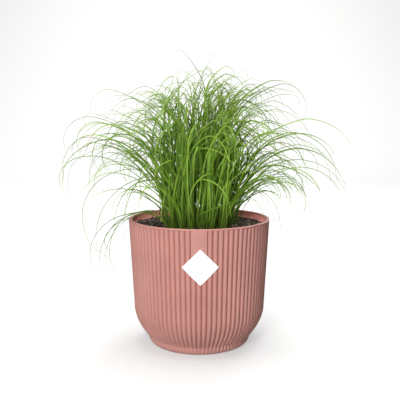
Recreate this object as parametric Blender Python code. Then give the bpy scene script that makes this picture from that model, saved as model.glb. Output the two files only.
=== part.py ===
"""A clump of umbrella sedge growing in a ribbed plastic pot.

The pot is one moulded shell with upright ribs, the potting soil fills it to just below the rim, and a
blank paper sticker sits on its front. The plant is a crowd of separate shoots: each is a short sheath
that parts into long, narrow, arching leaf blades. Metres, +Z up, the front faces -Y, and the origin is
the centre of the pot's underside.
"""

import colorsys
import math
import random

import bmesh
import bpy
from mathutils import Vector
from mathutils.bvhtree import BVHTree
from mathutils.kdtree import KDTree

MM = 0.001
GAP = 0.35 * MM  # clearance between pieces that touch

# Pot: crest radii from the rim down, and the levels where the outline changes
POT_HEIGHT = 165 * MM
LIP_RADIUS = 92 * MM
LIP_BAND = 1.7 * MM
LIP_ROUNDING = 1.3 * MM
WALL_TOP_RADIUS = 91.85 * MM
KNEE_RADIUS, KNEE_Z = 85.8 * MM, 51.7 * MM
NOTCH_RADIUS, NOTCH_Z = 67.4 * MM, 10.6 * MM
FOOT_MID_Z = 3.6 * MM
BASE_RADIUS = 57.1 * MM
WALL = 4.4 * MM
FLOOR_Z = 4.5 * MM
FLOOR_RADIUS = 52 * MM
BOWL_STEPS = (0.78, 0.55, 0.30)  # share of the bowl's height where a ring of points sits
RIB_COUNT = 84
RIB_DEPTH = 2.4 * MM
FOOT_RIB_SHARE = 0.5  # of the full depth left where the ribs reach the foot
PANEL_BOTTOM_Z = 121 * MM  # the smooth panel spans three ribs from the lip down to here
INSIDE_STEPS = RIB_COUNT // 2

# Paper sticker: a square set on its point
STICKER_SIDE = 31.8 * MM
STICKER_X, STICKER_Z = 1.6 * MM, 118.8 * MM
STICKER_THICKNESS = 0.4 * MM
STICKER_CELLS = 4

# Soil
SOIL_TOP_Z = 156 * MM
SOIL_FLAT_RADIUS = 50.5 * MM
SOIL_RING_RADII = (62 * MM, 74 * MM)
SOIL_LUMP = 2.2 * MM
SOIL_SEED = 7

# Shoots
SHOOT_COUNT = 57
CROWN_RADIUS = 46 * MM
GOLDEN_ANGLE = math.pi * (3 - math.sqrt(5))
SHEATH_FOOT_RADIUS = 2.9 * MM
SHEATH_TOP_RADIUS = 2.3 * MM
SHEATH_HEIGHT = 20 * MM
SHEATH_LEAN = 0.10  # outward shift of a fork for each unit of its distance from the axis
BLADES_PER_SHOOT = 4
PLANT_SEED = 11

# Blades
BLADE_WIDTH = 2.6 * MM
TIP_WIDTH = 0.9 * MM
RIDGE_HEIGHT = 0.45  # of the width
INNER_BEND = 0.34  # below 1 the blade leaves the soil nearly straight and bends near its top
OUTER_BEND = 1.0  # 1 is an arc of a circle, above 1 the tip curls
ARM_STEPS = 24
SMOOTHING_PASSES = 3
LISTED_RINGS = (3, 3)  # rings on the rising and on the falling arm of the blades in the lists below
COMPANION_RINGS = (2, 1)  # and of the others
SAMPLE_STEP = 1.6 * MM
SAMPLING_SLACK = 0.25 * MM
FORK_ROOM = 14 * MM  # kept free above a fork for its own blades
FORK_ZONE = 32 * MM  # blades of one shoot may touch this near their fork
TRIES = 200
BLADE_SHIFT = 0.12 * MM  # a listed blade moves up to this much more at each try
INNER_CHOICES = 6  # forks that an inner blade tries, from the nearest one
POT_ROOM = 1.5 * MM  # kept between a blade and the pot or the soil
FACE_SHRINK = 0.02  # faces that only meet at an edge come apart when they shrink by this share
BEND_WEIGHT = 50 * MM  # a bend of one radian draws rings like this much length
RING_SPACING = 5 * MM  # least distance between rings, so that a short tip stays a clean point
FULL_REACH = 130  # mm: a lead that reaches this far starts at the crown's edge
EDGE_HEIGHT, MIDDLE_HEIGHT = 180, 330  # mm: a lead this low starts at the edge, this high anywhere
COMPANION_REACH = 190 * MM  # the other blades of a shoot end no further out than this
COMPANION_SPAN = 12 * MM  # and their tips hang at least this far out and down from the highest point
COMPANION_DROP = 85 * MM  # and at most this far down
INNERMOST_TOP = 15 * MM

# The other blades of a shoot: one upright, one to either side, and a low one under the lead. The ranges
# are their reach and height as shares of the lead's, their turn from it in degrees, and the least height
# over the soil
COMPANIONS = (
    ((0.15, 0.60), (0.95, 1.25), (-20, 20), (125 * MM, 185 * MM)),
    ((0.40, 0.90), (0.75, 1.02), (10, 50), (80 * MM, 140 * MM)),
    ((0.40, 0.90), (0.75, 1.02), (-50, -10), (80 * MM, 140 * MM)),
    ((0.75, 1.05), (0.50, 0.80), (-9, 9), (0, 0)),
)

# The blades that give the clump its outline, one to a shoot: azimuth in degrees (0 to the right, 90 to
# the back), reach and height of the highest point, reach and height of the tip, in mm, and the outer bend
LEADS = (
    (165, 126, 332, 151, 305, 1.0),
    (150, 116, 325, 147, 323, 1.0),
    (186, 138, 296, 170, 253, 1.1),
    (172, 143, 300, 151, 285, 1.0),
    (205, 130, 289, 159, 276, 0.7),
    (196, 132, 290, 151, 249, 1.0),
    (222, 133, 288, 171, 257, 0.9),
    (176, 141, 245, 172, 191, 1.5),
    (158, 157, 271, 207, 203, 1.0),
    (200, 144, 272, 159, 246, 1.3),
    (215, 119, 240, 159, 216, 1.0),
    (190, 89, 230, 113, 110, 1.0),
    (212, 72, 222, 144, 130, 1.0),
    (206, 80, 177, 134, 102, 1.0),
    (193, 69, 175, 127, 89, 1.5),
    (168, 103, 200, 152, 187, 0.8),
    (238, 102, 219, 132, 189, 0.9),
    (225, 116, 211, 135, 173, 1.2),
    (140, 123, 321, 178, 292, 0.7),
    (138, 143, 311, 168, 288, 0.8),
    (142, 139, 289, 174, 246, 0.9),
    (202, 114, 276, 127, 227, 1.0),
    (150, 141, 246, 184, 211, 0.9),
    (190, 63, 327, 80, 305, 0.8),
    (162, 92, 302, 115, 267, 0.8),
    (215, 47, 332, 61, 329, 0.8),
    (165, 23, 354, 29, 348, 1.0),
    (38, 90, 347, 116, 335, 1.0),
    (60, 74, 340, 127, 322, 0.9),
    (12, 114, 339, 141, 290, 1.0),
    (30, 122, 333, 159, 329, 1.0),
    (-20, 88, 330, 109, 307, 0.9),
    (44, 123, 331, 162, 301, 1.0),
    (4, 140, 293, 201, 260, 0.9),
    (-35, 108, 305, 161, 269, 0.7),
    (-10, 126, 275, 172, 247, 1.2),
    (14, 134, 267, 204, 197, 0.9),
    (8, 130, 254, 201, 201, 0.8),
    (20, 141, 254, 174, 214, 1.1),
    (-6, 130, 232, 186, 177, 1.0),
    (18, 103, 231, 191, 181, 0.5),
    (-25, 124, 234, 159, 186, 1.0),
    (-30, 103, 223, 150, 195, 0.7),
    (-45, 112, 227, 146, 199, 0.8),
    (28, 133, 210, 162, 147, 1.0),
    (-15, 90, 202, 99, 178, 1.2),
    (48, 103, 193, 170, 103, 0.8),
    (-60, 127, 283, 162, 261, 0.8),
    (-25, 50, 327, 72, 302, 0.8),
    (75, 131, 314, 178, 294, 0.9),
    (105, 107, 314, 180, 284, 0.9),
    (-103, 100, 233, 146, 208, 0.9),
)

# Blades that cross the clump: root (x, y), highest point and tip (x, y, z), in mm, and the outer bend
CROSSINGS = (
    ((42, -20), (15, -62, 236), (-35, -66, 213), 0.8),
    ((-6, -38), (6, -54, 220), (39, -70, 175), 0.6),
    ((2, -50), (59, -62, 196), (89, -64, 193), 1.0),
    ((42, 4), (23, 2, 375), (15, 2, 374), 1.0),
    ((10, 8), (-25, 10, 382), (-33, 12, 376), 1.0),
)

# Upright blades of the inner clump and an arch at its front, set on the free places of the forks nearest
# to their roots: the same values as above
INNER_BLADES = (
    ((34, -32), (16, -50, 227), (-8, -64, 178), 1.0),
    ((-4, 5), (-5, 20, 350), (-2, 24, 350), 1.0),
    ((-14, 18), (-15, 30, 353), (-10, 34, 353), 1.0),
    ((-30, -10), (-30, -5, 333), (-28, -2, 323), 1.2),
    ((-28, 10), (-47, 25, 338), (-54, 28, 336), 1.0),
    ((-26, -22), (-56, -25, 328), (-62, -30, 326), 0.8),
    ((-22, 0), (-53, 5, 330), (-61, 8, 329), 0.8),
    ((-34, 12), (-70, 30, 329), (-78, 34, 327), 0.8),
    ((-36, 2), (-15, -2, 325), (-9, -4, 323), 1.0),
    ((4, -8), (30, -10, 360), (29, -6, 345), 1.3),
    ((40, 6), (58, 8, 354), (62, 12, 344), 1.0),
    ((-14, -4), (39, -20, 335), (45, -24, 334), 0.8),
    ((6, 12), (43, 22, 348), (51, 26, 347), 0.8),
    ((6, -20), (44, -30, 329), (51, -34, 327), 0.8),
    ((-6, -14), (4, -12, 340), (10, -16, 331), 0.8),
    ((0, 26), (38, 40, 345), (47, 44, 344), 0.8),
    ((24, 20), (1, 30, 353), (-5, 30, 352), 0.8),
    ((-20, 30), (9, 45, 359), (24, 48, 356), 0.8),
    ((28, 30), (72, 50, 347), (88, 56, 334), 0.8),
    ((16, 2), (48, 4, 347), (62, 0, 332), 0.9),
)
NOMINAL_HEIGHT = 356 * MM


def delete_old_objects():
    for item in list(bpy.data.objects):
        bpy.data.objects.remove(item, do_unlink=True)


def material(name, colour, roughness):
    made = bpy.data.materials.new(name)
    made.use_nodes = True
    shader = made.node_tree.nodes["Principled BSDF"]
    shader.inputs["Base Color"].default_value = (*colour, 1.0)
    shader.inputs["Roughness"].default_value = roughness
    shader.inputs["Metallic"].default_value = 0.0
    return made


def leaf_material(number):
    """Leaf green, a little different on each shoot."""
    hue = 0.265 + 0.012 * math.sin(2.4 * number)
    value = 0.25 + 0.05 * math.sin(1.7 * number)
    return material(f"sedge_leaf_{number:02d}", colorsys.hsv_to_rgb(hue, 0.82, value), 0.55)


def add_object(name, bm, look, smooth_below):
    """Close the mesh, face it outwards and shade it smooth below the given edge angle in degrees."""
    bmesh.ops.recalc_face_normals(bm, faces=bm.faces)
    mesh = bpy.data.meshes.new(name)
    bm.to_mesh(mesh)
    bm.free()
    mesh.materials.append(look)
    mesh.shade_smooth()
    mesh.set_sharp_from_angle(angle=math.radians(smooth_below))
    made = bpy.data.objects.new(name, mesh)
    bpy.context.scene.collection.objects.link(made)
    return made


def ring(bm, radii, z, start=-math.pi / 2):
    """A closed ring of points, one for each radius, from the front round to the right."""
    count = len(radii)
    points = []
    for i, radius in enumerate(radii):
        angle = start + 2 * math.pi * i / count
        points.append(bm.verts.new((radius * math.cos(angle), radius * math.sin(angle), z)))
    return points


def stitch(bm, first, second, skip=()):
    """Faces between two rings of equal count, or where one has twice the points of the other."""
    if len(first) == len(second):
        for i in range(len(first)):
            if i not in skip:
                j = (i + 1) % len(first)
                bm.faces.new((first[i], first[j], second[j], second[i]))
        return
    coarse, fine = sorted((first, second), key=len)
    for i in range(len(coarse)):
        here, after = coarse[i], coarse[(i + 1) % len(coarse)]
        a, b, c = (fine[(2 * i + k) % len(fine)] for k in range(3))
        bm.faces.new((here, a, b))
        bm.faces.new((here, b, after))
        bm.faces.new((after, b, c))


def crest_radius(z):
    """Outer radius of the rib crests at a height."""
    if z >= KNEE_Z:
        share = (z - KNEE_Z) / (POT_HEIGHT - LIP_BAND - KNEE_Z)
        return KNEE_RADIUS + (WALL_TOP_RADIUS - KNEE_RADIUS) * min(share, 1.0)
    if z >= NOTCH_Z:
        depth = (KNEE_Z - z) / (KNEE_Z - NOTCH_Z)
        return KNEE_RADIUS - (KNEE_RADIUS - NOTCH_RADIUS) * depth * depth
    depth = 1 - z / NOTCH_Z
    return BASE_RADIUS + (NOTCH_RADIUS - BASE_RADIUS) * (1 - depth * depth) ** 0.4


def bowl_level(share):
    return NOTCH_Z + (KNEE_Z - NOTCH_Z) * share


def inside_radius(z):
    return FLOOR_RADIUS if z <= FLOOR_Z else crest_radius(z) - WALL


def inside_levels():
    return (KNEE_Z, bowl_level(BOWL_STEPS[1]), FLOOR_Z)


def ribbed_ring(bm, z, depth):
    """Crests and grooves by turns, the first crest at the front centre."""
    crest = crest_radius(z)
    return ring(bm, [crest, crest - depth] * RIB_COUNT, z)


def panel_strip(bm, low, high):
    """The three front ribs: grooves run up to the panel, which is level with the crests above them."""
    count = len(low)
    groove_low = PANEL_BOTTOM_Z - RIB_DEPTH
    for groove in (-1, 1):
        angle = -math.pi / 2 + groove * math.pi / RIB_COUNT
        around = Vector((math.cos(angle), math.sin(angle), 0))
        foot = around * (crest_radius(groove_low) - RIB_DEPTH)
        foot.z = groove_low
        head = around * crest_radius(PANEL_BOTTOM_Z)
        head.z = PANEL_BOTTOM_Z
        line = [low[groove % count], bm.verts.new(foot), bm.verts.new(head), high[groove % count]]
        for side in (-1, 1):
            crest = (groove + side) % count
            for a, b in zip(line, line[1:]):
                bm.faces.new((low[crest], a, b))
            bm.faces.new((low[crest], high[groove % count], high[crest]))


def make_pot():
    bm = bmesh.new()
    base = ring(bm, [BASE_RADIUS] * RIB_COUNT, 0)
    foot = ring(bm, [crest_radius(FOOT_MID_Z)] * RIB_COUNT, FOOT_MID_Z)
    bm.faces.new(base)
    stitch(bm, base, foot)
    outside = ribbed_ring(bm, NOTCH_Z, RIB_DEPTH * FOOT_RIB_SHARE)
    stitch(bm, foot, outside)
    for share in reversed((1.0, *BOWL_STEPS)):
        above = ribbed_ring(bm, bowl_level(share), RIB_DEPTH)
        stitch(bm, outside, above)
        outside = above
    rib_top = POT_HEIGHT - LIP_BAND - RIB_DEPTH / 2
    top = ribbed_ring(bm, rib_top, RIB_DEPTH)
    for groove in (-1, 1):
        angle = -math.pi / 2 + groove * math.pi / RIB_COUNT
        flush = crest_radius(rib_top)
        top[groove].co = (flush * math.cos(angle), flush * math.sin(angle), rib_top)
    count = len(top)
    stitch(bm, outside, top, skip=[k % count for k in (-2, -1, 0, 1)])
    panel_strip(bm, outside, top)
    lip_rings = (
        (LIP_RADIUS, POT_HEIGHT - LIP_BAND),
        (LIP_RADIUS, POT_HEIGHT - LIP_ROUNDING / 2),
        (LIP_RADIUS - LIP_ROUNDING, POT_HEIGHT),
        (LIP_RADIUS - WALL, POT_HEIGHT - LIP_ROUNDING / 2),
    )
    previous = top
    for radius, z in lip_rings:
        current = ring(bm, [radius] * RIB_COUNT, z)
        stitch(bm, previous, current)
        previous = current
    for z in inside_levels():
        current = ring(bm, [inside_radius(z)] * INSIDE_STEPS, z)
        stitch(bm, previous, current)
        previous = current
    bm.faces.new(previous)
    return add_object("pot", bm, material("pot_plastic", (0.60, 0.31, 0.27), 0.48), 40)


def make_label():
    """The sticker follows the curve of the crests behind it."""
    bm = bmesh.new()
    layers = []
    for offset in (GAP, GAP + STICKER_THICKNESS):
        grid = []
        for i in range(STICKER_CELLS + 1):
            row = []
            for j in range(STICKER_CELLS + 1):
                u = (i / STICKER_CELLS - 0.5) * STICKER_SIDE
                v = (j / STICKER_CELLS - 0.5) * STICKER_SIDE
                z = STICKER_Z + (u + v) / math.sqrt(2)
                radius = crest_radius(z) + offset
                angle = -math.pi / 2 + (STICKER_X + (u - v) / math.sqrt(2)) / radius
                row.append(bm.verts.new((radius * math.cos(angle), radius * math.sin(angle), z)))
            grid.append(row)
        layers.append(grid)
    back, front = layers
    for grid in layers:
        for i in range(STICKER_CELLS):
            for j in range(STICKER_CELLS):
                bm.faces.new((grid[i][j], grid[i + 1][j], grid[i + 1][j + 1], grid[i][j + 1]))
    last = STICKER_CELLS
    edge = [(i, 0) for i in range(last)] + [(last, j) for j in range(last)]
    edge += [(i, last) for i in range(last, 0, -1)] + [(0, j) for j in range(last, 0, -1)]
    for (i, j), (k, m) in zip(edge, edge[1:] + edge[:1]):
        bm.faces.new((back[i][j], back[k][m], front[k][m], front[i][j]))
    return add_object("label", bm, material("sticker_paper", (0.86, 0.86, 0.85), 0.7), 30)


def make_soil():
    """Level where the shoots stand, lumpy between them and the wall, and full to the pot's floor."""
    rng = random.Random(SOIL_SEED)
    bm = bmesh.new()
    previous = ring(bm, [SOIL_FLAT_RADIUS] * INSIDE_STEPS, SOIL_TOP_Z)
    bm.faces.new(previous)
    for radius in SOIL_RING_RADII:
        current = ring(bm, [radius] * INSIDE_STEPS, SOIL_TOP_Z)
        for point in current:
            point.co.z += rng.uniform(-SOIL_LUMP, SOIL_LUMP / 2)
        stitch(bm, previous, current)
        previous = current
    for z in (SOIL_TOP_Z, *inside_levels()):
        bottom = FLOOR_Z + GAP if z <= FLOOR_Z else z
        current = ring(bm, [inside_radius(z) - GAP] * INSIDE_STEPS, bottom)
        stitch(bm, previous, current)
        previous = current
    bm.faces.new(previous)
    return add_object("soil", bm, material("potting_soil", (0.03, 0.022, 0.018), 0.95), 50)


def polar(azimuth, reach, height):
    """A point by its azimuth in degrees, and its reach and height in mm."""
    angle = math.radians(azimuth)
    return Vector((reach * math.cos(angle), reach * math.sin(angle), height)) * MM


def turned(share, bend):
    """Share of the whole turn made after a share of the length: early for a bend below 1, late above it."""
    return share**bend if bend > 1 else 1 - (1 - share) ** (1 / bend)


def arm(top, end, bend):
    """Points from top, where the blade is level, down to end along a smooth bend."""
    flat = Vector((end.x - top.x, end.y - top.y, 0))
    reach, drop = flat.length, top.z - end.z
    if drop < MM or reach < MM:
        return [top.lerp(end, i / ARM_STEPS) for i in range(ARM_STEPS + 1)]
    outward = flat / reach
    target = math.atan2(drop, reach)

    def unit(turn):
        x = y = 0.0
        points = [(x, y)]
        for i in range(ARM_STEPS):
            heading = turn * turned((i + 0.5) / ARM_STEPS, bend)
            x += math.cos(heading) / ARM_STEPS
            y += math.sin(heading) / ARM_STEPS
            points.append((x, y))
        return points

    low, high = 0.0, 1.4 * math.pi
    for _ in range(30):
        turn = (low + high) / 2
        x, y = unit(turn)[-1]
        if math.atan2(y, x) < target:
            low = turn
        else:
            high = turn
    points = unit((low + high) / 2)
    scale = math.hypot(reach, drop) / math.hypot(*points[-1])
    return [top + outward * (x * scale) - Vector((0, 0, y * scale)) for x, y in points]


def blade_path(start, top, tip, rise, bend):
    """The middle line of a blade from its fork over its highest point to its tip."""
    rising = arm(top, start, rise)[::-1]
    falling = arm(top, tip, bend)
    points = rising + falling[1:]
    for _ in range(SMOOTHING_PASSES):
        inner = [(a + 2 * b + c) / 4 for a, b, c in zip(points, points[1:], points[2:])]
        points = [points[0], *inner, points[-1]]
    return points


def ring_points(path, rings):
    """Points on the path for the solid's rings: a few on each arm, one at the top, and the tip."""
    turn = len(path) // 2
    chosen = []
    for piece, count in ((path[: turn + 1], rings[0]), (path[turn:], rings[1] + 1)):
        measure = [0.0]
        for i in range(1, len(piece)):
            step = piece[i] - piece[i - 1]
            bent = 0.0
            if i > 1:
                bent = step.angle(piece[i - 1] - piece[i - 2], 0.0)
            measure.append(measure[-1] + step.length + BEND_WEIGHT * bent)
        for k in range(1, count + 1):
            wanted = measure[-1] * k / count
            chosen.append(piece[min(range(len(piece)), key=lambda i: abs(measure[i] - wanted))])
    kept = [path[0]]
    for point in chosen[:-1]:
        if min((point - kept[-1]).length, (point - path[-1]).length) > RING_SPACING:
            kept.append(point)
    return [*kept, path[-1]]


def sample(line):
    """Points along a polyline, close together, each with the share of the length before it."""
    total = sum((b - a).length for a, b in zip(line, line[1:]))
    gone = 0.0
    points = []
    for a, b in zip(line, line[1:]):
        span = (b - a).length
        steps = max(1, math.ceil(span / SAMPLE_STEP))
        for i in range(steps):
            points.append((a.lerp(b, i / steps), (gone + span * i / steps) / total))
        gone += span
    points.append((line[-1], 1.0))
    return points


def half_width(share):
    return (BLADE_WIDTH + (TIP_WIDTH - BLADE_WIDTH) * share**1.5) / 2


def clears_pot(point, radius):
    """True where a blade of this radius passes clear of the soil, the wall and the ground."""
    away = math.hypot(point.x, point.y)
    room = radius + POT_ROOM
    if away > LIP_RADIUS + room:
        return point.z > room
    if away > crest_radius(POT_HEIGHT) - WALL - room:
        return point.z > POT_HEIGHT + room
    return point.z > SOIL_TOP_Z + SOIL_LUMP + room


def blade_ring(bm, point, along, inner, width):
    """Three points round a blade: its ridge and its two edges."""
    across = along.cross(inner)
    corners = (inner * width * RIDGE_HEIGHT, across * width / 2, -across * width / 2)
    return [bm.verts.new(point + corner) for corner in corners]


def draw_blade(bm, base, line):
    """Draw the triangle at the base out along the line to a point, without a twist."""
    total = sum((b - a).length for a, b in zip(line, line[1:]))
    gone = 0.0
    inner = base[0].co - (base[1].co + base[2].co) / 2
    previous = base
    for before, here, ahead in zip(line, line[1:], line[2:]):
        gone += (here - before).length
        along = ((ahead - here).normalized() + (here - before).normalized()).normalized()
        inner = (inner - along * inner.dot(along)).normalized()
        current = blade_ring(bm, here, along, inner, 2 * half_width(gone / total))
        for i in range(3):
            j = (i + 1) % 3
            bm.faces.new((previous[i], previous[j], current[j], current[i]))
        previous = current
    tip = bm.verts.new(line[-1])
    for i in range(3):
        bm.faces.new((previous[i], previous[(i + 1) % 3], tip))


class Thicket:
    """Every placed blade and sheath as close-set points, to keep the next one clear of them."""

    def __init__(self):
        self.points = []
        self.tree = None

    def add(self, points, shoot):
        for point, radius in points:
            self.points.append((point, radius, shoot))
        self.tree = KDTree(len(self.points))
        for i, (point, _, _) in enumerate(self.points):
            self.tree.insert(point, i)
        self.tree.balance()

    def clear(self, points, shoot, fork):
        reach = BLADE_WIDTH + SHEATH_FOOT_RADIUS
        for point, radius in points:
            near_fork = (point - fork).length < FORK_ZONE
            for _, i, distance in self.tree.find_range(point, reach):
                other = self.points[i]
                if other[2] == shoot and near_fork:
                    continue
                if distance < radius + other[1] + GAP + SAMPLING_SLACK:
                    return False
        return True


class Shoot:
    """A sheath with its fork, and the blades that leave the fork."""

    def __init__(self, number, root, top):
        self.number = number
        self.root = root
        self.heading = math.atan2(top.y - root.y, top.x - root.x)
        height = min(SHEATH_HEIGHT, 0.4 * (top.z - SOIL_TOP_Z))
        self.fork = root + Vector((root.x * SHEATH_LEAN, root.y * SHEATH_LEAN, height))
        self.lines = [None] * BLADES_PER_SHOOT

    def column(self):
        """The sheath, and the room above its fork where its own blades rise."""
        above = self.fork + Vector((0, 0, FORK_ROOM))
        rising = [(self.root.lerp(self.fork, i / 12), SHEATH_FOOT_RADIUS) for i in range(13)]
        return rising + [(self.fork.lerp(above, i / 12), SHEATH_TOP_RADIUS) for i in range(1, 13)]

    def wedge_angle(self, wedge):
        return self.heading + wedge * 2 * math.pi / BLADES_PER_SHOOT

    def wedge_start(self, wedge):
        angle = self.wedge_angle(wedge)
        return self.fork + Vector((math.cos(angle), math.sin(angle), 0)) * SHEATH_TOP_RADIUS / 2

    def free_wedges(self, point):
        """The free sides of the fork, the one that faces the point best first."""
        wanted = math.atan2(point.y - self.fork.y, point.x - self.fork.x)

        def off(wedge):
            return abs((self.wedge_angle(wedge) - wanted + math.pi) % (2 * math.pi) - math.pi)

        free = [wedge for wedge in range(BLADES_PER_SHOOT) if not self.lines[wedge]]
        return sorted(free, key=off)

    def mesh(self):
        """One closed body: a sheath whose top parts into wedges, each drawn out into a pointed blade."""
        bm = bmesh.new()
        foot, rim = [], []
        for i in range(BLADES_PER_SHOOT):
            angle = self.wedge_angle(i - 0.5)
            around = Vector((math.cos(angle), math.sin(angle), 0))
            foot.append(bm.verts.new(self.root + around * SHEATH_FOOT_RADIUS))
            rim.append(bm.verts.new(self.fork + around * SHEATH_TOP_RADIUS))
        middle = bm.verts.new(self.fork)
        bm.faces.new(foot[::-1])
        for wedge, line in enumerate(self.lines):
            after = (wedge + 1) % BLADES_PER_SHOOT
            bm.faces.new((foot[wedge], foot[after], rim[after], rim[wedge]))
            base = (middle, rim[wedge], rim[after])
            if line:
                draw_blade(bm, base, line)
            else:
                bm.faces.new(base)
        bmesh.ops.triangulate(bm, faces=bm.faces)
        return bm


def crown_places():
    """Places for the shoots, evenly spread over the crown."""
    places = []
    for i in range(SHOOT_COUNT):
        away = CROWN_RADIUS * math.sqrt((i + 0.5) / SHOOT_COUNT)
        angle = i * GOLDEN_ANGLE
        places.append(Vector((away * math.cos(angle), away * math.sin(angle), SOIL_TOP_Z + GAP)))
    return places


def take_nearest(places, wanted):
    best = min(places, key=lambda place: (place - wanted).length)
    places.remove(best)
    return best


def solid_points(line):
    return [(point, half_width(share)) for point, share in sample(line)]


def fits(line, shoot, thicket):
    points = solid_points(line)
    for point, radius in points:
        if (point - shoot.fork).length > FORK_ZONE / 2 and not clears_pot(point, radius):
            return False
    return thicket.clear(points, shoot.number, shoot.fork)


def crosses_itself(shoot):
    """True where faces of the shoot pass through each other."""
    bm = shoot.mesh()
    corners, faces = [], []
    for face in bm.faces:
        centre = face.calc_center_median()
        faces.append(range(len(corners), len(corners) + 3))
        corners += [vert.co.lerp(centre, FACE_SHRINK) for vert in face.verts]
    bm.free()
    tree = BVHTree.FromPolygons(corners, faces)
    return any(a < b for a, b in tree.overlap(tree))


def place_blade(shoot, top, tip, bend, rise, rings, thicket):
    """Set a blade on the side of the fork that faces it best; say whether it found room."""
    for wedge in shoot.free_wedges(top):
        line = ring_points(blade_path(shoot.wedge_start(wedge), top, tip, rise, bend), rings)
        if not fits(line, shoot, thicket):
            continue
        shoot.lines[wedge] = line
        if not crosses_itself(shoot):
            thicket.add(solid_points(line), shoot.number)
            return True
        shoot.lines[wedge] = None
    return False


def place_listed(shoot, top, tip, bend, thicket, rng):
    """Place a blade of the lists, moved a little further at each try while another is in its way."""
    for attempt in range(TRIES):
        shift = Vector([rng.uniform(-1, 1) * attempt * BLADE_SHIFT for _ in range(3)])
        rise = INNER_BEND * rng.uniform(1 - 0.6 * attempt / TRIES, 1)
        if place_blade(shoot, top + shift, tip + shift, bend, rise, LISTED_RINGS, thicket):
            return True
    return False


def companion(kind, top, tip, rng):
    """Highest point and tip of a blade that keeps company with the lead."""
    away = math.hypot(top.x, top.y)
    azimuth = math.degrees(math.atan2(top.y, top.x))
    height = top.z - SOIL_TOP_Z
    beyond = max(math.hypot(tip.x, tip.y) - away, COMPANION_SPAN)
    drop = max(top.z - tip.z, COMPANION_SPAN)
    reaches, rises, turns, least = COMPANIONS[kind]
    turn = rng.uniform(*turns)
    rise = max(height * rng.uniform(*rises), rng.uniform(*least))
    peak = min(SOIL_TOP_Z + rise, NOMINAL_HEIGHT * rng.uniform(0.9, 1.0))
    out = max(away * rng.uniform(*reaches), INNERMOST_TOP)
    end = min(out + beyond * rng.uniform(0.5, 1.2), COMPANION_REACH)
    low = peak - min(drop * rng.uniform(0.5, 1.4), COMPANION_DROP)
    return (
        polar(azimuth + turn, out / MM, peak / MM),
        polar(azimuth + turn * rng.uniform(0.9, 1.5), end / MM, low / MM),
    )


def grow_plant():
    """Place every shoot and blade, so that none runs through another."""
    rng = random.Random(PLANT_SEED)
    places = crown_places()
    thicket = Thicket()
    plans = []
    for root, top, tip, bend in CROSSINGS:
        wanted = Vector((root[0], root[1], 0)) * MM
        plans.append((wanted, Vector(top) * MM, Vector(tip) * MM, bend))
    for azimuth, out, height, tip_out, tip_height, bend in LEADS:
        lowness = (MIDDLE_HEIGHT - height) / (MIDDLE_HEIGHT - EDGE_HEIGHT)
        share = min(1.0, max(out / FULL_REACH, lowness))
        wanted = polar(azimuth, CROWN_RADIUS / MM * share, 0)
        plans.append((wanted, polar(azimuth, out, height), polar(azimuth, tip_out, tip_height), bend))
    plans.sort(key=lambda plan: plan[1].z)
    shoots = []
    for number, (wanted, top, tip, bend) in enumerate(plans, 1):
        wanted.z = SOIL_TOP_Z
        shoot = Shoot(number, take_nearest(places, wanted), top)
        thicket.add(shoot.column(), number)
        shoots.append((shoot, top, tip, bend))
    for shoot, top, tip, bend in shoots:
        place_listed(shoot, top, tip, bend, thicket, rng)
    for root, top, tip, bend in INNER_BLADES:
        wanted = Vector((*root, SOIL_TOP_Z / MM)) * MM
        nearest = sorted((each[0] for each in shoots), key=lambda shoot: (shoot.root - wanted).length)
        for shoot in nearest[:INNER_CHOICES]:
            if place_listed(shoot, Vector(top) * MM, Vector(tip) * MM, bend, thicket, rng):
                break
    for shoot, top, tip, bend in shoots:
        for kind in range(shoot.lines.count(None)):
            for _ in range(TRIES):
                peak, end = companion(kind, top, tip, rng)
                rise = INNER_BEND * rng.uniform(0.5, 1.1)
                if place_blade(shoot, peak, end, OUTER_BEND, rise, COMPANION_RINGS, thicket):
                    break
    return [shoot for shoot, _, _, _ in shoots]


def make_shoot(shoot):
    return add_object(f"shoot_{shoot.number:02d}", shoot.mesh(), leaf_material(shoot.number), 60)


def main():
    delete_old_objects()
    make_pot()
    make_label()
    make_soil()
    for shoot in grow_plant():
        make_shoot(shoot)


main()
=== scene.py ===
"""A potted umbrella sedge: a clump of arching leaf blades in a ribbed, moulded plastic pot.

The solids of the model are loaded first and stay where they are. Each shoot's blades follow the middle
lines of its solid, and thinner ones fill in beside them. The pot, the soil and the sticker are rebuilt
with their fine surface. Metres, +Z up, the front faces -Y.
"""

import math
import random

import bpy
from bpy.props import FloatProperty, FloatVectorProperty, IntProperty, PointerProperty
from mathutils import Matrix, Vector, noise


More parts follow.
